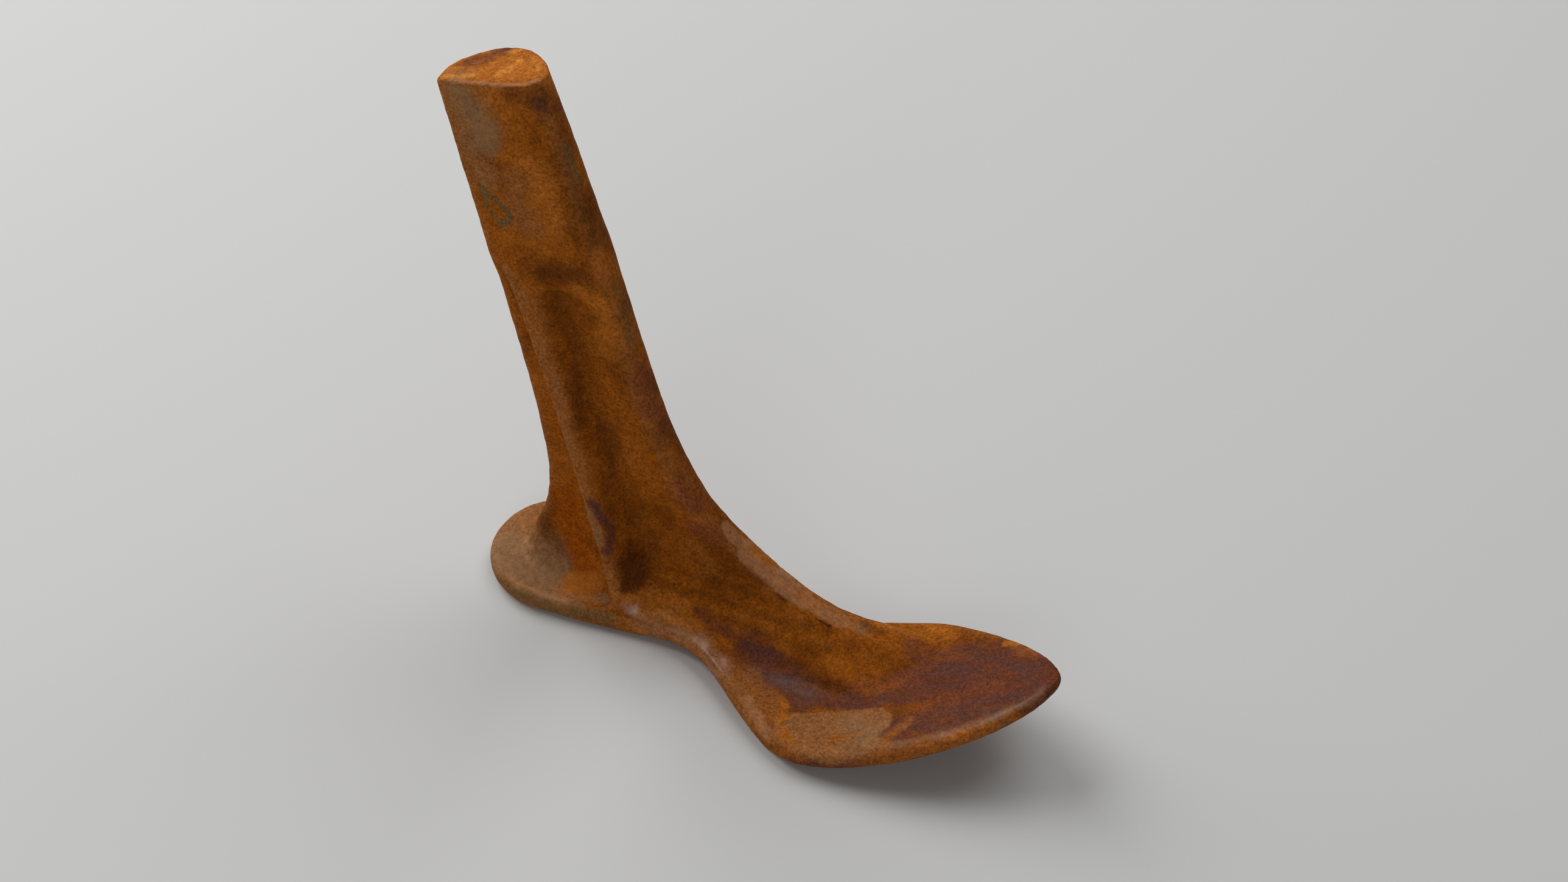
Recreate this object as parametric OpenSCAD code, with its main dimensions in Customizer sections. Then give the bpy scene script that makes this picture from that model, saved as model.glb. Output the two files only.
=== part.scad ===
// Cast iron shoe last with its post made on, standing on its sole.
// The origin is the centre of the round heel, on the ground.
// +X runs from the heel to the toe, +Y to the inner side of the foot, +Z up the post.

/* [Sole] */
// Length of the sole from the back of the heel to the toe tip
foot_l = 184; // [165:1:215]
// Diameter of the round heel
heel_d = 45; // [38:1:54]
// Thickness of the sole plate
plate_t = 6.5; // [5:0.5:9]
// Radius that rounds the rim of the sole plate
rim_r = 2.8; // [1:0.1:3]
// Half width of the waist on the outer side
waist_out = 19.5; // [16:0.5:24]
// Distance of the outer waist in front of the heel centre
waist_x = 45; // [34:1:50]
// Half width of the ball on the outer side
ball_out = 47; // [35:0.5:55]
// Distance of the outer ball in front of the heel centre
ball_out_x = 97; // [85:1:110]
// Half width of the arch on the inner side
arch_in = 8; // [7.5:0.5:14]
// Distance of the inner arch in front of the heel centre
arch_x = 82; // [65:1:95]
// Half width of the ball on the inner side
ball_in = 14.5; // [11:0.5:20]
// Distance of the inner ball in front of the heel centre
ball_in_x = 121; // [108:1:130]
// Distance of the toe tip from the middle plane, to the outer side
toe_side = 7.5; // [0:0.5:14]
// Fullness of the toe outline, where 2 is an ellipse
toe_full = 1.6; // [1.3:0.1:2.5]
// Height of the waist off the ground
waist_rise = 2; // [0:0.5:5]
// Height of the toe tip off the ground
toe_rise = 25; // [8:1:32]
// Distance of the tread, which touches the ground, in front of the heel centre
tread_x = 85; // [75:1:95]
// Steepness of the rise from the tread to the toe
toe_bend = 1.6; // [1.3:0.1:2.2]

/* [Leg] */
// Place where the middle line of the leg meets the ground, in front of the heel centre
leg_x = 32; // [26:1:40]
// Lean of the leg towards the heel, in degrees
leg_lean = 14.2; // [8:0.1:20]
// Length of the leg from its rear to its front edge, at the foot of the post
leg_l = 36; // [32:0.5:46]
// Widening of the leg towards the sole, per side and per mm of height
leg_taper = 0.03; // [0:0.005:0.06]
// Run of the front web out along the sole
front_run = 69; // [50:1:90]
// Height over which the front web runs out
front_fall = 16.5; // [10:0.5:24]
// Run of the rear web back along the heel
rear_run = 18; // [6:0.5:21]
// Height over which the rear web runs out
rear_fall = 22; // [14:0.5:26]
// Swell of the leg's rear edge below the post
rear_swell = 1.25; // [0:0.25:4]
// Half thickness of the web between the ribs
web_half = 4.25; // [3.75:0.25:5]
// Half width of the flat that is ground along the lower front edge
flat_half = 4.25; // [3:0.25:5]
// Half width of the flat at its toe end, on the outer side
flat_tip_half = 1.5; // [0.5:0.25:3]
// Run of the slope beside the flat
flat_run = 5; // [2:0.5:8]
// Height up to which the front edge is flat
flat_h = 34; // [25:1:50]
// Height over which the flat turns into the rounded edge
flat_fade = 16; // [8:1:30]
// Half thickness of the rounded edges at their very end
blunt_half = 1.25; // [0.75:0.25:2]
// Radius that rounds the front edge of the web
edge_r = 4.5; // [2:0.5:8]
// Radius that rounds the rear edge of the web
rear_edge_r = 2; // [1:0.25:4]
// Half thickness of the bead along the rounded front edge
bead_half = 5.75; // [5:0.25:7]
// Width over which the web swells into the bead
bead_w = 16; // [10:1:20]
// Width of the hollow fillet between the front web and the sole
sole_fillet_w = 20; // [6:0.5:24]
// Width of the hollow fillet between the rear web and the heel
heel_fillet_w = 8; // [4:0.5:12]
// Height of the hollow fillets
fillet_h = 20; // [10:0.5:30]
// Distance of the cross rib in front of the heel centre, at the sole
rib_x = 27; // [22:0.5:32]
// Distance of the cross rib from the rear edge of the leg, at the foot of the post
rib_gap = 10; // [8:0.5:14]
// Run of the rib's hollow front flank at the sole
rib_foot = 11; // [8:0.5:15]
// Run of the rib's hollow front flank at the foot of the post
rib_head = 7.5; // [5:0.25:7.5]
// Share of the front flank that is the rib's blunt crest
rib_crest_ratio = 0.15; // [0.1:0.05:0.5]
// Length of the rib's crest behind its middle, at the sole
crest_foot = 1; // [0.5:0.25:4]
// Distance of the rib's rear corner from the rear edge of the leg, at the foot of the post
corner_gap = 3; // [2.5:0.25:5]
// Run of the rib's steep rear flank
flank_run = 1.6; // [1:0.2:2]
// Height over which the ribs grow out of the solid post
rib_blend = 32; // [30:1:90]
// Height over which the groove in front of the rib sinks into the post
groove_blend = 15; // [10:1:30]
// Height over which the recess behind the rib sinks into the post
recess_blend = 20; // [10:1:30]

/* [Post] */
// Height of the foot of the solid post
post_foot_h = 126; // [105:1:140]
// Height of the middle of the post's end face
post_h = 180; // [165:1:220]
// Lean of the post towards the heel, in degrees
post_lean = 15.7; // [8:0.1:22]
// Tilt of the end face, in degrees
end_tilt = 12.5; // [0:0.5:22]
// Length of the post's end face from rear to front, measured level
post_l = 30; // [24:0.5:40]
// Half thickness of the post on its flatter outer side
post_out = 7.5; // [6:0.25:11]
// Half thickness of the post on its rounder inner side
post_in = 12; // [8:0.25:14]
// Distance of the post's blunt ends from the middle plane, to the outer side
post_skew = 2; // [0:0.25:4]
// Half thickness of the post's blunt ends
post_blunt = 1; // [0.5:0.25:3]
// Radius that rounds the edge of the end face
end_r = 0.8; // [0.4:0.1:2]

/* [Hidden] */
$fn = 96;

heel_r = heel_d / 2;
toe_x = foot_l - heel_r;
// Least height of the upright band left between the two rounds of the rim
RIM_BAND = 0.4;
rim = min(rim_r, (plate_t - RIM_BAND) / 2);
leg_h = post_foot_h - plate_t;

// Counts of the steps that draw the curves
LEVELS = 24;
REAR_STEPS = 7;
FLANK_STEPS = 3;
CREST_STEPS = 4;
RIB_STEPS = 7;
FRONT_STEPS = 18;
BALL_STEP = 5;
HEEL_STEPS = 4;
TOE_STEPS = 14;
POST_STEPS = 5;
RIM_STEPS = 3;
END_STEPS = 3;
// Power of the curve in which the rear web runs out
RUN_OUT_POWER = 1.5;
// Powers of the post's section: its outer side's rear and front, its inner side's foot and end
REAR_POWER = 8;
FRONT_POWER = 2.8;
FOOT_POWER = 2.2;
END_POWER = 1.65;
// Power of the growth of the rib's crest up the leg
CREST_POWER = 3;
// Share of the toe's length at its last section, just short of its point
TOE_END_RATIO = 0.998;

rust = "#8a4a22";
dark_rust = "#6e3a1e";
worn_iron = "#8f6a4a";

// Blend from 0 to 1 that starts and ends level
function ease(t) = let (c = max(0, min(1, t))) c * c * (3 - 2 * c);
function mix(a, b, t) = a + (b - a) * t;
// Quarter round from 0 to 1
function round_over(t) = let (c = max(0, min(1, t))) sqrt(1 - (1 - c) * (1 - c));
// Half of a superellipse over 0 to 1
function bow(u, power) = pow(max(0, 1 - pow(abs(2 * u - 1), power)), 1 / power);

// Rise of the sole off the ground along the foot
function rise(x) =
    x > tread_x ? toe_rise * pow((x - tread_x) / (toe_x - tread_x), toe_bend)
    : x > rib_x ? waist_rise * pow(sin(180 * (x - rib_x) / (tread_x - rib_x)), 2)
    : 0;
// The rise dies out up the leg, so that the foot of the post is level
function lifted(x, z) = z + rise(x) * (1 - ease((z - plate_t) / leg_h));

// Half widths of the sole on the outer and the inner side, drawn in by an inset
function toe_w(x, from_x, from_w, tip_w, inset) =
    let (along = (x - from_x) / (toe_x - inset - from_x))
    mix(tip_w, from_w, pow(max(0, 1 - pow(along, toe_full)), 1 / toe_full));
function heel_w(x, inset) = sqrt(max(0, pow(heel_r - inset, 2) - x * x));
function out_w(x, inset) =
    x < 0 ? heel_w(x, inset)
    : x < waist_x ? mix(heel_r, waist_out, ease(x / waist_x)) - inset
    : x < ball_out_x ? mix(waist_out, ball_out, ease((x - waist_x) / (ball_out_x - waist_x))) - inset
    : toe_w(x, ball_out_x, ball_out - inset, toe_side, inset);
function in_w(x, inset) =
    x < 0 ? heel_w(x, inset)
    : x < arch_x ? mix(heel_r, arch_in, ease(x / arch_x)) - inset
    : x < ball_in_x ? mix(arch_in, ball_in, ease((x - arch_x) / (ball_in_x - arch_x))) - inset
    : toe_w(x, ball_in_x, ball_in - inset, -toe_side, inset);

// Heights of the sections of the leg, closer together near the sole and the post
function level_z(i) = plate_t + leg_h * (1 - cos(180 * i / LEVELS)) / 2;
// Rear edge, front edge and cross rib of the leg at a height
function leg_mid(z) = leg_x - tan(leg_lean) * z;
function leg_half(z) = leg_l / 2 + leg_taper * (post_foot_h - z);
function rear_x(z) =
    leg_mid(z) - leg_half(z)
    - rear_swell * ease((post_foot_h - z) / recess_blend)
    - rear_run * exp(-pow((z - plate_t) / rear_fall, RUN_OUT_POWER));
function front_x(z) = leg_mid(z) + leg_half(z) + front_run * exp((plate_t - z) / front_fall);
function rib_mid(z) = mix(rib_x, rear_x(post_foot_h) + rib_gap, (z - plate_t) / leg_h);
function rib_run(z) = mix(rib_foot, rib_head, (z - plate_t) / leg_h);
function rib_corner(z) =
    rib_mid(z) - mix(crest_foot, rib_gap - corner_gap, pow((z - plate_t) / leg_h, CREST_POWER));
function rib_rear(z) = rib_corner(z) - flank_run;

// Places along a section of the leg, closer together at its two ends
function rear_xs(z) =
    [for (k = [0 : REAR_STEPS]) mix(rear_x(z), rib_rear(z), 1 - cos(90 * k / REAR_STEPS))];
function rib_xs(z) = concat(
    [for (k = [0 : FLANK_STEPS - 1]) mix(rib_rear(z), rib_corner(z), k / FLANK_STEPS)],
    [for (k = [0 : CREST_STEPS - 1]) mix(rib_corner(z), rib_mid(z), k / CREST_STEPS)],
    rib_front_xs(z));
function rib_front_xs(z) = [for (k = [0 : RIB_STEPS]) rib_mid(z) + rib_run(z) * k / RIB_STEPS];
function front_xs(z) =
    [for (k = [0 : FRONT_STEPS]) mix(rib_mid(z) + rib_run(z), front_x(z), sin(90 * k / FRONT_STEPS))];

// Half thickness of the post's section, from its rear end at 0 to its front end at 1;
// v runs from 0 at the foot of the post to 1 at its end
function post_out_t(u) =
    mix(post_skew + post_blunt, post_out, bow(u, u < 0.5 ? REAR_POWER : FRONT_POWER));
function post_in_t(u, v) =
    mix(post_blunt - post_skew, post_in, bow(u, mix(FOOT_POWER, END_POWER, v)));

// Half thickness of the leg: the web with its fillet and bead, the rib across it and the blunt edges
function flare(x, z) =
    let (forward = ease((x - rib_mid(z)) / (2 * rib_run(z)) + 0.5))
    mix(heel_fillet_w, sole_fillet_w, forward) * (1 - round_over((z - plate_t) / fillet_h));
function rounded(z) = ease((z - flat_h) / flat_fade);
function near_front(x, z) = ease(1 - (front_x(z) - x) / bead_w);
function web_t(x, z) =
    web_half + flare(x, z) + (bead_half - web_half) * rounded(z) * near_front(x, z);
function ridge(x, z) =
    x < rib_mid(z) ? ease((x - rib_rear(z)) / flank_run)
    : ease((1 - (x - rib_mid(z)) / rib_run(z)) / (1 - rib_crest_ratio));
function slope_over(t) = sin(90 * min(1, t));
function front_edge(x, z) =
    let (t = (front_x(z) - x) / (mix(flat_run, edge_r, rounded(z)) + flare(x, z)))
    mix(slope_over(t), round_over(t), rounded(z));
function rear_edge(x, z) = round_over((x - rear_x(z)) / (rear_edge_r + flare(x, z)));
// The hollows beside the rib sink in faster than the rib and the front edge, and so start with an arch
function blend_h(x, z) =
    x < rib_mid(z) ? mix(recess_blend, rib_blend, ridge(x, z))
    : mix(rib_blend, groove_blend, ease((x - rib_mid(z)) / rib_run(z)) * (1 - near_front(x, z)));
function leg_t(x, z, sole_w, rib_sole_w, flat_w, post_w, post_t) =
    let (web = web_t(x, z))
    let (rib = mix(rib_sole_w, post_w, (z - plate_t) / leg_h))
    let (ribbed = web + max(0, rib - web) * ridge(x, z))
    let (end = x < rib_mid(z) ? blunt_half : mix(flat_w, blunt_half, rounded(z)))
    let (blunt = mix(end, min(sole_w, ribbed), front_edge(x, z) * rear_edge(x, z)))
    mix(post_t, blunt, ease((post_foot_h - z) / blend_h(x, z)));
function leg_u(x, z) = (x - rear_x(z)) / (front_x(z) - rear_x(z));
function flat_out_half(z) = mix(flat_tip_half, flat_half, min(1, (z - plate_t) / (flat_h - plate_t)));
function leg_out_t(x, z) =
    leg_t(x, z, out_w(x, rim), out_w(rib_x, rim), flat_out_half(z), post_out, post_out_t(leg_u(x, z)));
function leg_in_t(x, z) =
    leg_t(x, z, in_w(x, rim), in_w(rib_x, rim), flat_half, post_in, post_in_t(leg_u(x, z), 0));

// A ring of points: along one side and back along the other
function ring(one, other) = concat(one, [for (k = [len(other) - 1 : -1 : 0]) other[k]]);
function leg_ring(xs, z) =
    ring([for (x = xs) [x, -leg_out_t(x, z), lifted(x, z)]],
         [for (x = xs) [x, leg_in_t(x, z), lifted(x, z)]]);

// Solid through rings of points, whose two sides pair up across the middle plane
module loft(rings) {
    count = len(rings[0]);
    half = count / 2;
    last = (len(rings) - 1) * count;
    walls = [for (r = [0 : len(rings) - 2]) for (k = [0 : count - 1])
        let (a = r * count + k)
        let (b = r * count + (k + 1) % count)
        for (face = [[a, b + count, b], [a, a + count, b + count]]) face];
    ends = [for (k = [0 : half - 2])
        let (a = k)
        let (b = k + 1)
        let (c = count - 2 - k)
        let (d = count - 1 - k)
        for (face = [[a, b, c], [a, c, d],
                     [last + a, last + c, last + b], [last + a, last + d, last + c]]) face];
    polyhedron(points = [for (one = rings) each one], faces = concat(walls, ends));
}

// Rim of the plate from its lower to its upper edge: inset and height
rim_angles = [for (k = [0 : RIM_STEPS]) 90 * k / RIM_STEPS];
rim_steps = concat(
    [for (a = rim_angles) [rim * (1 - sin(a)), rim * (1 - cos(a))]],
    [for (a = rim_angles) [rim * (1 - cos(a)), plate_t - rim * (1 - sin(a))]]);

function plate_ring(x, stretch = 0) =
    let (places = [for (s = rim_steps) x - stretch * s[0]])
    ring([for (k = [0 : len(rim_steps) - 1])
             [places[k], in_w(places[k], rim_steps[k][0]), rim_steps[k][1] + rise(places[k])]],
         [for (k = [0 : len(rim_steps) - 1])
             [places[k], -out_w(places[k], rim_steps[k][0]), rim_steps[k][1] + rise(places[k])]]);

// Sections of the sole stand under the points of the webs, so that the faces meet
function after_first(list) = [for (k = [1 : len(list) - 1]) list[k]];
under_rib = after_first(rib_front_xs(plate_t));
under_web = after_first(front_xs(plate_t));
waist_xs = concat([rib_x], under_rib, [for (k = [0 : BALL_STEP]) under_web[k]]);
ball_xs = [for (k = [BALL_STEP : len(under_web) - 1]) under_web[k]];
toe_start = front_x(plate_t);

// Section of the post at a height, drawn in by an inset to round its end
post_us =
    let (z = post_foot_h)
    [for (x = concat(rear_xs(z), after_first(rib_xs(z)), after_first(front_xs(z)))) leg_u(x, z)];
post_foot_mid = (rear_x(post_foot_h) + front_x(post_foot_h)) / 2;
post_foot_half = (front_x(post_foot_h) - rear_x(post_foot_h)) / 2;
function post_ring(z, inset) =
    let (v = (z - post_foot_h) / (post_h - post_foot_h))
    let (mid = post_foot_mid - tan(post_lean) * (z - post_foot_h))
    let (half = mix(post_foot_half, post_l / 2, v) - inset)
    let (slope = v * tan(end_tilt))
    let (xs = [for (u = post_us) half * (2 * u - 1)])
    let (count = [0 : len(xs) - 1])
    ring([for (k = count) [mid + xs[k], inset - post_out_t(post_us[k]), z + slope * xs[k]]],
         [for (k = count) [mid + xs[k], post_in_t(post_us[k], v) - inset, z + slope * xs[k]]]);

module heel_plate() {
    color(worn_iron) {
        rotate([0, 0, 90])
            rotate_extrude(angle = 180)
                heel_profile();
        loft([for (k = [0 : HEEL_STEPS]) plate_ring(rib_x * k / HEEL_STEPS)]);
    }
}

module heel_profile() {
    square([heel_r - rim, plate_t]);
    translate([0, rim])
        square([heel_r, plate_t - 2 * rim]);
    for (z = [rim, plate_t - rim])
        translate([heel_r - rim, z])
            circle(rim);
}

module waist_plate() {
    color(rust)
        loft([for (x = waist_xs) plate_ring(x)]);
}

module ball_plate() {
    color(worn_iron)
        loft([for (x = ball_xs) plate_ring(x)]);
}

module toe_plate() {
    color(dark_rust)
        loft([for (k = [0 : TOE_STEPS])
            let (t = TOE_END_RATIO * sin(90 * k / TOE_STEPS))
            plate_ring(mix(toe_start, toe_x, t), t)]);
}

module rear_web() {
    color(rust)
        loft([for (i = [0 : LEVELS]) leg_ring(rear_xs(level_z(i)), level_z(i))]);
}

module cross_rib() {
    color(dark_rust)
        loft([for (i = [0 : LEVELS]) leg_ring(rib_xs(level_z(i)), level_z(i))]);
}

module front_web() {
    color(rust)
        loft([for (i = [0 : LEVELS]) leg_ring(front_xs(level_z(i)), level_z(i))]);
}

module post() {
    shoulder_h = post_h - end_r;
    color(rust)
        loft(concat(
            [for (k = [0 : POST_STEPS - 1]) post_ring(mix(post_foot_h, shoulder_h, k / POST_STEPS), 0)],
            [for (k = [0 : END_STEPS])
                let (a = 90 * k / END_STEPS)
                post_ring(shoulder_h + end_r * sin(a), end_r * (1 - cos(a)))]));
}

heel_plate();
waist_plate();
ball_plate();
toe_plate();
rear_web();
cross_rib();
front_web();
post();
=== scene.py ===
"""Looks of the cobbler anvil.

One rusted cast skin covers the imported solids. It stands on a pale floor in soft light.
Lengths are in millimetres of the part's own frame, and MM turns them into metres.
"""

import math

import bmesh
import bpy
import numpy as np
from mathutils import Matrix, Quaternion, Vector, noise


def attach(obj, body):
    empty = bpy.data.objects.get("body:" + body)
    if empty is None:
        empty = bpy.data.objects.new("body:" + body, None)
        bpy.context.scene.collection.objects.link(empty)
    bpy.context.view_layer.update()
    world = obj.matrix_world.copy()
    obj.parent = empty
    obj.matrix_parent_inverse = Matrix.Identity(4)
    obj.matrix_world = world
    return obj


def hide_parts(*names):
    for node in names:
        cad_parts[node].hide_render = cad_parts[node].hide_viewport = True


MM = 0.001

# Camera of the photograph
CAMERA_AT = (227.8, -441.9, 530.4)
CAMERA_AIM = (42.4, 79.0, 0.0)
CAMERA_ROLL = math.radians(3.64)
LENS = 53.22
SENSOR = 36.0
NEAREST_SEEN = 10

# Studio: each lamp's name, place, size and power
LAMPS = [
    ("key", (-1340, 500, 1240), 1500, 30.0),
    ("back", (340, 1020, 1610), 1300, 12.0),
    ("fill", (360, -1780, 630), 1200, 8.5),
]
LAMP_AIM = (50, 0, 40)
SKY = 0.10
FLOOR_REACH = 4000
FLOOR_COLOUR = (0.62, 0.62, 0.61)
FLOOR_ROUGHNESS = 0.7

# Skin of the casting: the size of its cells and how far they are smoothed
VOXEL = 0.7
SMOOTH_SHARE = 0.5
SMOOTH_STEPS = 4

# Cast unevenness: wave, height and seed of the broad swell and of the rust scale.
# The skin above SOLE_Z is sunk by SINK, so that it stays inside the solids.
UNEVENNESS = [(14.0, 0.22, 3.1), (3.2, 0.10, 7.7)]
SINK = 0.16
SOLE_Z = 1.0

# Bends of the surface per mm that count as a worn edge and as a hollow, and the steps that even them out
EDGE_BEND = 0.16
HOLLOW_BEND = 0.05
BEND_STEPS = 10

# Wandering of the soft stains' edges: wave and reach. A stain thinner than WARP_FULL wanders less.
WARP = [(13.0, 3.0), (4.5, 1.5)]
WARP_SEEDS = (11.3, 17.9, 23.7)
WARP_FULL = 4.0

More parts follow.
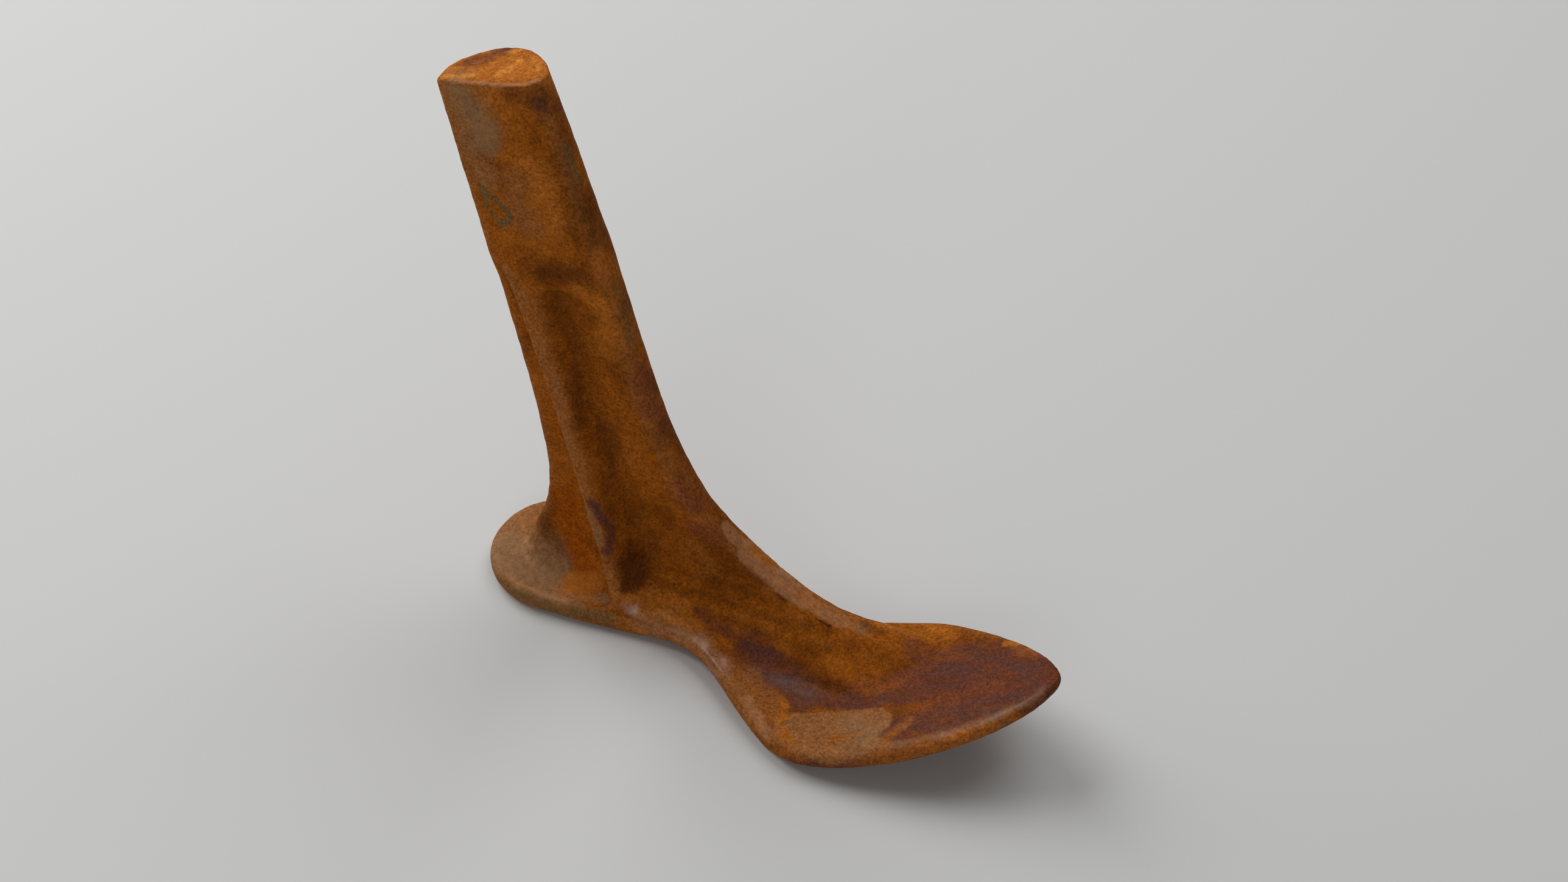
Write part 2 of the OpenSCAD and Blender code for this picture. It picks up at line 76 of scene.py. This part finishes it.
# Stains, painted highlights and painted shade, laid as strokes: mask, radius, fade, strength and the
# points along the stroke.
# The fade is the share of the radius over which the stroke's edge runs out.
CRISP = 0.4
SOFT = 1.9
STROKES = [
    # Near face of the post
    ("worn_and_highlight", 5, SOFT, 0.8, [(-19, -7, 174), (-17, -7, 167), (-16, -7, 162)]),
    ("tan", 5, SOFT, 0.8, [(-25, -7, 172), (-20, -7, 154), (-16, -7, 149)]),
    ("orange", 2.5, SOFT, 0.5, [(-24, -7, 169), (-23, -7, 164), (-22, -7, 160)]),
    ("orange", 5, SOFT, 0.6, [(-3, -7, 157), (2, -7, 150), (3, -7, 140)]),
    ("orange", 3, SOFT, 0.5, [(16, -4, 133), (18, -3, 127)]),
    ("dark", 4, SOFT, 0.6, [(-6, -7, 180), (-1, -6, 181), (1, -5, 179)]),
    ("dark", 4, SOFT, 0.6, [(11, -2, 148), (13, -4, 143), (15, -5, 137)]),
    # Painted shade under the top of the groove's arch
    ("dark", 6, SOFT, 0.75, [(1, -7, 123), (10, -7, 123)]),
    ("plum", 3, SOFT, 0.6, [(1, -5, 178), (3, -5, 175)]),
    ("tan", 5, SOFT, 0.5, [(-8, -7, 152), (-5, -7, 137)]),
    ("olive", 2.5, SOFT, 0.6, [(6, -3, 163), (8, -3, 159), (9, -3, 155)]),
    ("olive", 2.5, SOFT, 0.5, [(20, -2, 121), (22, 0, 112), (25, -2, 102)]),
    # Drop-shaped ring on the post
    ("olive", 0.8, SOFT, 1.0, [(-18, -7.5, 146), (-15, -7.5, 144), (-10, -7.5, 140.5), (-9, -7.5, 138.5)]),
    ("olive", 1.1, SOFT, 1.0, [(-9, -7.5, 138.5), (-10, -7.5, 136), (-11.5, -7.5, 135)]),
    ("olive", 0.8, SOFT, 1.0, [(-11.5, -7.5, 135), (-15, -7.5, 138.5)]),
    ("olive", 0.8, SOFT, 1.0, [(-15, -7.5, 138.5), (-16.5, -7.5, 142), (-18, -7.5, 146)]),
    # End face of the post, with its worn near rim
    ("orange", 9, SOFT, 0.9, [(-28, -3, 177), (-18, 1, 179), (-7, 3, 182)]),
    ("plum", 3, SOFT, 0.8, [(-24, 1, 178), (-20, 3, 179), (-17, 8, 180)]),
    ("yellow", 1.2, SOFT, 0.9, [(-27, -5, 177), (-24, -5, 178), (-20, -4, 179)]),
    ("yellow", 1.2, SOFT, 0.9, [(-13, -2, 180), (-12, 1, 181), (-11, 5, 181)]),
    ("yellow", 1.2, SOFT, 0.9, [(-15, 8, 180), (-13, 10, 181)]),
    ("yellow", 1.2, SOFT, 0.6, [(-8, 7, 182), (-4, 2, 183)]),
    ("pale_and_highlight", 0.8, CRISP, 0.8, [(-24, -7, 178), (-11, -7, 181), (-4, -6, 182.5), (-1, -3, 183)]),
    # Leg
    ("tan", 2.6, SOFT, 0.5, [(-11, -7, 120), (-5, -8, 110), (1, -10, 95), (8, -12, 72), (15, -14, 47)]),
    ("flake", 5, SOFT, 0.6, [(13, -6, 119), (17, -6, 115), (19, -6, 107), (16, -5, 99)]),
    ("orange", 5, SOFT, 0.3, [(20, -4, 70), (24, -4, 61)]),
    # Painted shade in the groove along the front side of the rib, down towards its foot
    ("dark", 5, SOFT, 0.5, [(3, -5, 112), (5, -6, 102)]),
    ("dark", 3.5, SOFT, 0.6, [(8, -7, 88), (12, -9, 73)]),
    ("dark", 4, SOFT, 0.5, [(16, -6, 69), (19, -7, 57), (21, -10, 43)]),
    ("dark", 2.5, SOFT, 0.6, [(29, 1, 88), (31, 2, 82)]),
    ("dark", 3, SOFT, 0.5, [(34, 1, 74), (41, 2, 57)]),
    ("red", 4.5, SOFT, 0.6, [(28, -1, 91), (33, -1, 77)]),
    ("red", 5.5, SOFT, 0.6, [(42, -5, 52), (46, -1, 48)]),
    ("orange", 5, SOFT, 0.4, [(43, -4, 30), (51, -5, 24)]),
    ("red", 4, SOFT, 0.6, [(46, -4, 38), (51, -4, 37)]),
    # Heel seat and the foot of the rib
    ("worn_and_highlight", 9, SOFT, 1.0, [(-13, -8, 7), (-4, -13, 7), (6, -15, 7)]),
    ("worn_and_highlight", 7, SOFT, 0.6, [(-18, 4, 7), (-14, 12, 7)]),
    # Worn heel rim, partly a painted highlight along its top edge
    ("worn_and_highlight", 2.2, SOFT, 0.9, [(-2, -19, 7), (8, -18, 7), (20, -15, 7)]),
    ("tan", 5, SOFT, 0.8, [(-20, -4, 7), (-17, 1, 7)]),
    ("worn_and_highlight", 6, SOFT, 0.6, [(-12, 4, 7), (-5, -2, 8)]),
    # Painted reflection: a pale streak on the heel seat by the fillet
    ("pale_and_highlight", 1.2, SOFT, 0.6, [(-11, -1, 7), (-8, -6, 9), (-3, -7, 12)]),
    # Painted highlight along the top edge of the heel rim
    ("pale_and_highlight", 0.8, SOFT, 0.8, [(-9, -18, 6), (2, -20, 6), (8, -20, 6), (14, -18, 7), (20, -16, 7)]),
    # Dark olive-brown lower side of the heel rim, partly its own colour and partly painted shade near the
    # ground
    ("olive", 2.2, SOFT, 0.7, [(-13, -18, 4), (-6, -22, 4), (2, -22, 4), (16, -21, 4), (26, -20, 4)]),
    ("plum", 3, SOFT, 0.7, [(3, -7, 12), (5, -8, 9), (4, -11, 7)]),
    ("dark", 3, SOFT, 0.6, [(-7, -4, 20), (-4, -5, 18), (0, -6, 14)]),
    ("ember", 4.5, SOFT, 0.9, [(4, -4, 35), (5, -4, 26), (7, -5, 19), (11, -7, 12)]),
    ("flake", 4.5, SOFT, 1.0, [(11, -7, 12), (13, -12, 7), (9, -13, 7)]),
    ("worn_and_highlight", 2.2, CRISP, 0.5, [(16, -15, 42), (18, -15, 38), (20, -16, 32)]),
    ("plum", 1.8, SOFT, 0.9, [(17, -14, 46), (20, -14, 42), (23, -13, 36), (22, -15, 29)]),
    ("tan", 2.4, SOFT, 0.6, [(24, -17, 22), (24, -17, 14), (24, -17, 7)]),
    ("dark", 4, SOFT, 0.9, [(28, -10, 25), (30, -11, 18)]),
    ("red", 2.5, SOFT, 0.4, [(29, -10, 21), (31, -12, 15)]),
    # Waist
    ("tan", 3.6, SOFT, 0.7, [(33, -16, 8), (46, -18, 7), (58, -22, 8), (69, -29, 8), (79, -36, 7)]),
    # Painted highlight along the waist rim
    ("pale_and_highlight", 1.2, SOFT, 0.7, [(31, -17, 8), (44, -18, 8), (51, -19, 8), (58, -21, 8)]),
    ("gloss", 3.2, SOFT, 1.0, [(32, -17, 9), (45, -18, 8), (56, -21, 8), (63, -25, 8)]),
    ("flake", 3, SOFT, 0.9, [(35, -14, 10), (43, -15, 10), (52, -17, 10)]),
    ("yellow", 1.2, SOFT, 0.7, [(39, -15, 10), (43, -15, 10)]),
    ("orange", 4, SOFT, 0.9, [(34, -13, 11), (44, -14, 11)]),
    ("red", 2.5, SOFT, 0.7, [(52, -13, 12), (63, -15, 11)]),
    # Pale flat along the top of the front web, partly its own colour and partly a painted highlight, with
    # a painted highlight line on its near edge and a line of painted shade just below it
    ("pale_and_highlight", 2.6, CRISP, 0.6, [(54, 0, 38), (60, 0, 33)]),
    ("pale_and_highlight", 4.2, CRISP, 0.75, [(62, 0, 31.5), (66, 0, 28.5), (74, 0, 23.5), (80, 0, 20.5)]),
    ("pale_and_highlight", 3.4, CRISP, 0.45, [(80, 0, 20.5), (85, 0, 18.5), (92, 0, 16)]),
    ("pale_and_highlight", 0.8, CRISP, 1.0, [(60, -3.5, 33), (67, -3.5, 28), (75, -3.2, 22.8), (89, -2.6, 16.8)]),
    ("dark", 0.8, CRISP, 0.9, [(60, -5.2, 32), (67, -5.2, 26.5), (75, -4.8, 21.5), (90, -3.8, 15.5)]),
    ("worn_and_highlight", 2.8, SOFT, 0.7, [(86, 0, 18), (93, 0, 16), (98, 0, 15)]),
    ("flake", 2, SOFT, 0.8, [(63, 1, 31), (68, 2, 27)]),
    ("flake", 2, SOFT, 0.8, [(79, 0, 21), (84, 1, 19)]),
    ("olive", 2.2, SOFT, 0.6, [(71, 1, 25), (76, 1, 22)]),
    ("dark", 2, SOFT, 0.7, [(99, 2, 14.5), (104, 2, 13)]),
    # Ball of the sole
    ("plum", 5.5, SOFT, 1.0, [(71, -18, 9), (78, -20, 7), (91, -26, 7)]),
    ("plum", 3.2, SOFT, 1.0, [(93, -26, 7), (105, -23, 9), (126, -16, 16)]),
    ("gloss", 4, SOFT, 0.3, [(82, -21, 7), (91, -25, 7)]),
    ("dark", 2.4, SOFT, 0.8, [(76, -16, 9), (82, -18, 8), (93, -19, 8), (107, -20, 10)]),
    ("red", 4, SOFT, 0.6, [(107, -17, 10), (120, -12, 13), (134, -13, 19)]),
    ("tan", 5, CRISP, 0.9, [(92, -37, 7), (100, -34, 8), (114, -29, 12)]),
    ("tan", 4, CRISP, 0.8, [(96, -42, 8), (106, -43, 9), (115, -38, 12)]),
    ("tan", 4, SOFT, 0.6, [(73, -25, 7), (81, -31, 7), (88, -39, 7)]),
    ("worn_and_highlight", 5, SOFT, 0.6, [(108, -32, 10), (114, -33, 12), (113, -39, 11)]),
    # Painted highlight along the near rim of the ball
    ("pale_and_highlight", 1.8, SOFT, 0.7, [(77, -34, 7), (80, -37, 7), (86, -42, 6)]),
    ("flake", 1.4, SOFT, 1.0, [(86, -30, 7), (87, -31, 7)]),
    ("flake", 1.5, SOFT, 1.0, [(87, -36, 7), (88, -34, 7)]),
    ("flake", 1.5, SOFT, 0.8, [(90, -39, 7), (94, -42, 7)]),
    ("plum", 3, SOFT, 0.8, [(96, -47, 3), (105, -46, 6), (113, -44, 8)]),
    # Toe
    ("red", 8, SOFT, 1.0, [(122, -12, 14), (134, -13, 19), (155, -6, 28)]),
    ("plum", 9, SOFT, 0.9, [(126, -7, 17), (138, -2, 20), (156, -7, 29)]),
    ("plum", 7, SOFT, 0.9, [(123, -31, 15), (135, -24, 19), (152, -14, 27)]),
    ("plum", 4, SOFT, 0.7, [(115, 0, 14), (126, 1, 16), (136, 5, 19)]),
    ("flake", 3.2, SOFT, 0.6, [(103, 4, 13), (109, 7, 12), (123, 8, 15)]),
    ("orange", 2.5, SOFT, 0.6, [(137, -32, 20), (146, -27, 23), (154, -20, 27)]),
    # Painted highlight along the top of the toe's near rim
    ("worn_and_highlight", 1.6, SOFT, 0.5, [(118, -39, 13), (134, -32, 19), (151, -21, 26), (157, -14, 29)]),
    ("gloss", 1.6, SOFT, 0.15, [(133, -32, 19), (142, -27, 22), (151, -20, 26), (157, -13, 29)]),
    ("flake", 2.2, SOFT, 0.5, [(120, -36, 13), (124, -28, 15)]),
    ("flake", 1.3, SOFT, 1.0, [(141, 6, 22), (144, 6, 23)]),
    # Far side, which the photo does not show
    ("tan", 6, SOFT, 0.6, [(-12, 12, 166), (-9, 12, 152)]),
    ("dark", 6, SOFT, 0.5, [(2, 11, 160), (9, 9, 142)]),
    ("dark", 4, SOFT, 0.6, [(-9, 6, 104), (-4, 6, 82), (2, 6, 62)]),
    ("tan", 2.6, SOFT, 0.5, [(-8, 12, 112), (1, 14, 90), (10, 16, 62), (18, 18, 38)]),
    ("red", 5, SOFT, 0.6, [(30, 5, 78), (38, 5, 58)]),
    ("orange", 5, SOFT, 0.5, [(16, 5, 100), (22, 5, 72)]),
    ("flake", 4, SOFT, 0.7, [(8, 10, 24), (14, 13, 12)]),
    ("plum", 4, SOFT, 0.7, [(66, 8, 14), (84, 7, 10), (98, 8, 10)]),
    ("worn_and_highlight", 4, SOFT, 0.7, [(0, 20, 6), (14, 19, 6), (28, 17, 6)]),
]

# Colours of the rust, as light that the surface gives back
DEEP_BROWN = (0.190, 0.051, 0.004)
RUST = (0.315, 0.085, 0.006)
AMBER = (0.400, 0.118, 0.013)
RED_BROWN = (0.145, 0.038, 0.014)

# Colours of the stains, and of the painted highlights and painted shade laid with the same masks, in the
# order in which they cover each other
STAINS_AND_PAINTED_LIGHT = {
    "orange": (0.470, 0.143, 0.021),
    # dark rust, also laid as painted shade in the groove, under the arch and below the edge of the flat
    "dark": (0.095, 0.026, 0.004),
    "red": (0.190, 0.052, 0.022),
    "plum": (0.110, 0.037, 0.025),
    "tan": (0.310, 0.122, 0.040),
    # worn iron, also laid as painted highlights along the heel and toe rims
    "worn_and_highlight": (0.275, 0.142, 0.062),
    # dark olive-brown, also laid partly as painted shade along the lower side of the heel rim
    "olive": (0.160, 0.092, 0.034),
    # pale iron, also laid as painted highlights on rims and edges and as a painted reflection on the heel
    # seat
    "pale_and_highlight": (0.420, 0.180, 0.078),
    "flake": (0.430, 0.130, 0.014),
    "ember": (0.300, 0.066, 0.003),
    "yellow": (0.600, 0.230, 0.040),
}

# Waves of the rust's patterns
BROAD_WAVE = 22
PATCH_WAVE = 5
STREAK_WAVE = 3.5
STREAK_STRETCH = (3, 1, 3)
LUMP_WAVE = 2.4
FLECK_WAVE = 2.2
PIT_WAVE = 1.1
GRAIN_WAVE = 0.8

# Share of the stain in hollows and on edges, and how far the patches tear the edge of a stain
BEND_SHARE = 0.35
TEAR = 0.6

# Finish: dull rust under a coat that shows where it is glossy, and a little on plum places and on worn
# places and painted highlights
SPECULAR = 0.03
ROUGHNESS = (0.75, 0.9)
COAT_MOST = 0.9
COAT_SHARES = {"plum": 0.2, "worn_and_highlight": 0.15}
COAT_ROUGHNESS = 0.3
BUMP_STRENGTH = 0.9
BUMP_DEPTH = 0.25
LUMP_SHARE = 1.2


def mm(values):
    return Vector(values) * MM


def link(name, data):
    made = bpy.data.objects.new(name, data)
    bpy.context.scene.collection.objects.link(made)
    return made


def mesh_from(bm, name):
    mesh = bpy.data.meshes.new(name)
    bm.to_mesh(mesh)
    bm.free()
    return mesh


def aim(thing, place, target, roll=0.0):
    """Puts a camera or lamp at a place and turns it to a target."""
    thing.location = mm(place)
    turn = (mm(target) - mm(place)).to_track_quat("-Z", "Y")
    thing.rotation_mode = "QUATERNION"
    thing.rotation_quaternion = turn @ Quaternion((0, 0, 1), roll)


def make_camera():
    camera = link("camera", bpy.data.cameras.new("camera"))
    camera.data.lens = LENS
    camera.data.sensor_width = SENSOR
    camera.data.clip_start = NEAREST_SEEN * MM
    aim(camera, CAMERA_AT, CAMERA_AIM, CAMERA_ROLL)
    bpy.context.scene.camera = camera


def make_lamp(name, place, size, power):
    lamp = link(name, bpy.data.lights.new(name, "AREA"))
    lamp.data.size = size * MM
    lamp.data.energy = power
    lamp.visible_camera = False
    aim(lamp, place, LAMP_AIM)


def pale_floor():
    material = bpy.data.materials.new("pale_floor")
    material.use_nodes = True
    shader = material.node_tree.nodes["Principled BSDF"]
    shader.inputs["Base Color"].default_value = (*FLOOR_COLOUR, 1)
    shader.inputs["Roughness"].default_value = FLOOR_ROUGHNESS
    return material


def make_floor():
    bm = bmesh.new()
    bmesh.ops.create_grid(bm, x_segments=1, y_segments=1, size=FLOOR_REACH * MM)
    mesh = mesh_from(bm, "floor")
    mesh.materials.append(pale_floor())
    link("floor", mesh)


def make_studio():
    make_floor()
    for lamp in LAMPS:
        make_lamp(*lamp)
    world = bpy.data.worlds.new("studio")
    world.use_nodes = True
    background = world.node_tree.nodes["Background"]
    background.inputs["Color"].default_value = (1, 1, 1, 1)
    background.inputs["Strength"].default_value = SKY
    bpy.context.scene.world = world
    bpy.context.scene.view_settings.view_transform = "Standard"


def smooth_step(t):
    t = np.clip(t, 0, 1)
    return t * t * (3 - 2 * t)


def cast_noise(points, wave, seed):
    offset = Vector((seed, 2 * seed, 3 * seed))
    return np.array([noise.noise(Vector(p) / wave + offset) for p in points])


def read(items, field, width, kind):
    flat = np.empty(len(items) * width, kind)
    items.foreach_get(field, flat)
    return flat.reshape(-1, width)


def points_of(mesh):
    return read(mesh.vertices, "co", 3, np.float32).astype(float) / MM


def normals_of(mesh):
    return read(mesh.vertex_normals, "vector", 3, np.float32).astype(float)


def edges_of(mesh):
    return read(mesh.edges, "vertices", 2, np.int32)


def store(mesh, name, values):
    attribute = mesh.attributes.new(name, "FLOAT", "POINT")
    attribute.data.foreach_set("value", values.astype(np.float32))


def joined_solids(nodes):
    bm = bmesh.new()
    for name in sorted(nodes):
        bm.from_mesh(nodes[name].data)
    return mesh_from(bm, "solids")


def make_skin(nodes):
    """One closed mesh through all the regions of the casting, without the seams between them."""
    solids = link("solids", joined_solids(nodes))
    remesh = solids.modifiers.new("remesh", "REMESH")
    remesh.mode = "VOXEL"
    remesh.voxel_size = VOXEL * MM
    smooth = solids.modifiers.new("smooth", "SMOOTH")
    smooth.factor = SMOOTH_SHARE
    smooth.iterations = SMOOTH_STEPS
    depsgraph = bpy.context.evaluated_depsgraph_get()
    mesh = bpy.data.meshes.new_from_object(solids.evaluated_get(depsgraph))
    bpy.data.objects.remove(solids)
    mesh.name = "rusted_casting"
    mesh.materials.clear()
    return link("rusted_casting", mesh)


def roughen(mesh):
    """Moves the skin in and out along its normals, without going below the ground."""
    points = points_of(mesh)
    height = sum(tall * cast_noise(points, wave, seed) for wave, tall, seed in UNEVENNESS) - SINK
    height[points[:, 2] < SOLE_Z] = 0
    moved = points + normals_of(mesh) * height[:, None]
    moved[:, 2] = np.maximum(moved[:, 2], 0)
    mesh.vertices.foreach_set("co", (moved * MM).astype(np.float32).ravel())
    mesh.update()


def mark_bends(mesh):
    """Marks the worn edges and the hollows by how the surface bends."""
    points = points_of(mesh)
    normals = normals_of(mesh)
    first, second = edges_of(mesh).T
    count = len(points)
    step = points[second] - points[first]
    length2 = (step**2).sum(axis=1)
    ends = np.concatenate([first, second])
    others = np.concatenate([second, first])
    bend = np.concatenate([-(normals[first] * step).sum(axis=1), (normals[second] * step).sum(axis=1)])
    bend = 2 * bend / np.tile(length2, 2)
    meeting = np.bincount(ends, minlength=count)
    value = np.bincount(ends, bend, count) / meeting
    for _ in range(BEND_STEPS):
        value = (value + np.bincount(ends, value[others], count) / meeting) / 2
    store(mesh, "edge", smooth_step(value / EDGE_BEND))
    store(mesh, "hollow", smooth_step(-value / HOLLOW_BEND))


def away_from(points, path):
    """Distance of points from a path of straight stretches."""
    nearest = np.full(len(points), np.inf)
    for start, end in zip(path[:-1], path[1:]):
        start = np.array(start, float)
        along = np.array(end, float) - start
        share = np.clip((points - start) @ along / (along @ along), 0, 1)
        nearest = np.minimum(nearest, np.linalg.norm(points - start - share[:, None] * along, axis=1))
    return nearest


def wandering(points):
    """How far the edges of soft stains wander at each point."""
    warp = np.zeros_like(points)
    for wave, reach in WARP:
        warp += reach * np.stack([cast_noise(points, wave, seed) for seed in WARP_SEEDS], axis=1)
    return warp


def paint_stains_and_light(mesh):
    """Lays the strokes into one mask for each stain colour, which also carries the painted highlights and
    painted shade, and one for the gloss.
    """
    points = points_of(mesh)
    warp = wandering(points)
    masks = {name: np.zeros(len(points)) for name in (*STAINS_AND_PAINTED_LIGHT, "gloss")}
    for name, radius, fade, strength, path in STROKES:
        drift = min(1, radius / WARP_FULL) if fade == SOFT else 0
        inside = 1 - away_from(points + warp * drift, path) / radius
        cover = strength * smooth_step(inside / fade + 0.5)
        masks[name] = np.maximum(masks[name], cover)
    for name, values in masks.items():
        store(mesh, name, values)


class Graph:
    """Short calls for building a material's nodes."""

    def __init__(self, name):
        self.material = bpy.data.materials.new(name)
        self.material.use_nodes = True
        self.tree = self.material.node_tree
        self.shader = self.tree.nodes["Principled BSDF"]
        self.coords = self.tree.nodes.new("ShaderNodeTexCoord").outputs["Object"]

    def join(self, source, socket):
        """Links a node's output to a socket, or sets the socket to a plain value."""
        if isinstance(source, bpy.types.NodeSocket):
            self.tree.links.new(source, socket)
        else:
            socket.default_value = source

    def stretched(self, factors):
        node = self.tree.nodes.new("ShaderNodeVectorMath")
        node.operation = "DIVIDE"
        self.join(self.coords, node.inputs[0])
        self.join(factors, node.inputs[1])
        return node.outputs["Vector"]

    def noise(self, wave, detail=4.0, rough=0.55, twist=0.0, stretch=None):
        node = self.tree.nodes.new("ShaderNodeTexNoise")
        self.join(self.stretched(stretch) if stretch else self.coords, node.inputs["Vector"])
        node.inputs["Scale"].default_value = 1 / (wave * MM)
        node.inputs["Detail"].default_value = detail
        node.inputs["Roughness"].default_value = rough
        node.inputs["Distortion"].default_value = twist
        return node.outputs["Fac"]

    def attribute(self, name):
        node = self.tree.nodes.new("ShaderNodeAttribute")
        node.attribute_name = name
        return node.outputs["Fac"]

    def math(self, kind, a, b):
        node = self.tree.nodes.new("ShaderNodeMath")
        node.operation = kind
        self.join(a, node.inputs[0])
        self.join(b, node.inputs[1])
        return node.outputs["Value"]

    def span(self, value, low, high, to_low=0.0, to_high=1.0):
        """Eases a value that runs from low to high into another range."""
        node = self.tree.nodes.new("ShaderNodeMapRange")
        node.interpolation_type = "SMOOTHSTEP"
        self.join(value, node.inputs["Value"])
        node.inputs["From Min"].default_value = low
        node.inputs["From Max"].default_value = high
        node.inputs["To Min"].default_value = to_low
        node.inputs["To Max"].default_value = to_high
        return node.outputs["Result"]

    def mix(self, share, a, b, blend="MIX"):
        """Mixes two colours, whose sockets have numbers because their names repeat."""
        node = self.tree.nodes.new("ShaderNodeMix")
        node.data_type = "RGBA"
        node.blend_type = blend
        self.join(share, node.inputs["Factor"])
        for value, socket in ((a, node.inputs[6]), (b, node.inputs[7])):
            self.join(value if isinstance(value, bpy.types.NodeSocket) else (*value, 1), socket)
        return node.outputs[2]

    def grey(self, value):
        node = self.tree.nodes.new("ShaderNodeCombineXYZ")
        for socket in node.inputs:
            self.join(value, socket)
        return node.outputs["Vector"]


def bare_rust(graph, patchy):
    """Mottled rust, darker in the hollows and paler on the edges."""
    broad = graph.noise(BROAD_WAVE, detail=5, twist=0.6)
    colour = graph.mix(graph.span(broad, 0.34, 0.52), DEEP_BROWN, RUST)
    colour = graph.mix(graph.span(broad, 0.52, 0.68, 0, 0.7), colour, AMBER)
    colour = graph.mix(graph.span(patchy, 0.5, 0.72, 0, 0.35), colour, DEEP_BROWN)
    for mask, mark in (("hollow", "dark"), ("edge", "tan")):
        share = graph.math("MULTIPLY", graph.attribute(mask), BEND_SHARE)
        colour = graph.mix(share, colour, STAINS_AND_PAINTED_LIGHT[mark])
    return colour


def with_stains_and_light(graph, colour, patchy):
    """The stains, painted highlights and painted shade over the rust, with torn edges; the plum one is
    streaked.
    """
    torn_edge = graph.math("MULTIPLY", graph.math("SUBTRACT", patchy, 0.5), TEAR)
    streaks = graph.noise(STREAK_WAVE, detail=5, stretch=STREAK_STRETCH)
    for name, mark in STAINS_AND_PAINTED_LIGHT.items():
        if name == "plum":
            mark = graph.mix(graph.span(streaks, 0.42, 0.62), mark, RED_BROWN)
        torn = graph.math("ADD", graph.attribute(name), torn_edge)
        colour = graph.mix(graph.span(torn, 0.08, 0.92, 0, 0.95), colour, mark)
    return colour


def speckled(graph, colour, grain):
    """Flecks, pits and grain over all, with less grain where the surface is rubbed and where highlights
    are painted.
    """
    flecks = graph.noise(FLECK_WAVE)
    pits = graph.noise(PIT_WAVE, detail=3)
    colour = graph.mix(graph.span(flecks, 0.62, 0.74, 0, 0.3), colour, STAINS_AND_PAINTED_LIGHT["flake"])
    colour = graph.mix(graph.span(pits, 0.6, 0.74, 0, 0.45), colour, STAINS_AND_PAINTED_LIGHT["dark"])
    coarse = graph.span(flecks, 0.3, 0.7, 1.14, 0.86)
    rubbed_and_highlit = graph.math("MAXIMUM", graph.attribute("worn_and_highlight"), graph.attribute("pale_and_highlight"))
    fine = graph.math("SUBTRACT", graph.span(grain, 0.3, 0.7, 0.6, 1.4), 1)
    fine = graph.math("MULTIPLY", fine, graph.span(rubbed_and_highlit, 0, 1, 1, 0.4))
    speckle = graph.math("MULTIPLY", graph.math("ADD", fine, 1), coarse)
    return graph.mix(1.0, colour, graph.grey(speckle), "MULTIPLY")


def coat_weight(graph):
    gloss = graph.attribute("gloss")
    for name, share in COAT_SHARES.items():
        gloss = graph.math("ADD", gloss, graph.math("MULTIPLY", graph.attribute(name), share))
    return graph.span(gloss, 0, 1, 0, COAT_MOST)


def rough_normal(graph, grain):
    bump = graph.tree.nodes.new("ShaderNodeBump")
    bump.inputs["Strength"].default_value = BUMP_STRENGTH
    bump.inputs["Distance"].default_value = BUMP_DEPTH * MM
    lumps = graph.math("MULTIPLY", graph.noise(LUMP_WAVE), LUMP_SHARE)
    graph.join(graph.math("ADD", grain, lumps), bump.inputs["Height"])
    return bump.outputs["Normal"]


def rusted_iron():
    graph = Graph("rusted_iron")
    sockets = graph.shader.inputs
    patchy = graph.noise(PATCH_WAVE, detail=8, rough=0.62)
    grain = graph.noise(GRAIN_WAVE, detail=5, rough=0.7)
    colour = with_stains_and_light(graph, bare_rust(graph, patchy), patchy)
    graph.join(speckled(graph, colour, grain), sockets["Base Color"])
    graph.join(graph.span(patchy, 0.3, 0.7, *ROUGHNESS), sockets["Roughness"])
    graph.join(SPECULAR, sockets["Specular IOR Level"])
    graph.join(coat_weight(graph), sockets["Coat Weight"])
    graph.join(COAT_ROUGHNESS, sockets["Coat Roughness"])
    graph.join(rough_normal(graph, grain), sockets["Normal"])
    return graph.material


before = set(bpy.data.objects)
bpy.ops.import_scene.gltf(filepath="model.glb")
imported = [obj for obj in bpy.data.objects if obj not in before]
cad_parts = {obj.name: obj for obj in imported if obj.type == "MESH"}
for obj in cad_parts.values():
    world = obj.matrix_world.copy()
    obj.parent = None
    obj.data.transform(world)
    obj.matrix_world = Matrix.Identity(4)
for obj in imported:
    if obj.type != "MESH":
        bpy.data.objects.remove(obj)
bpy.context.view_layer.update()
make_camera()
make_studio()
skin = make_skin(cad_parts)
roughen(skin.data)
mark_bends(skin.data)
paint_stains_and_light(skin.data)
skin.data.materials.append(rusted_iron())
skin.data.shade_smooth()
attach(skin, "root")
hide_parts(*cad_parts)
bpy.context.view_layer.update()
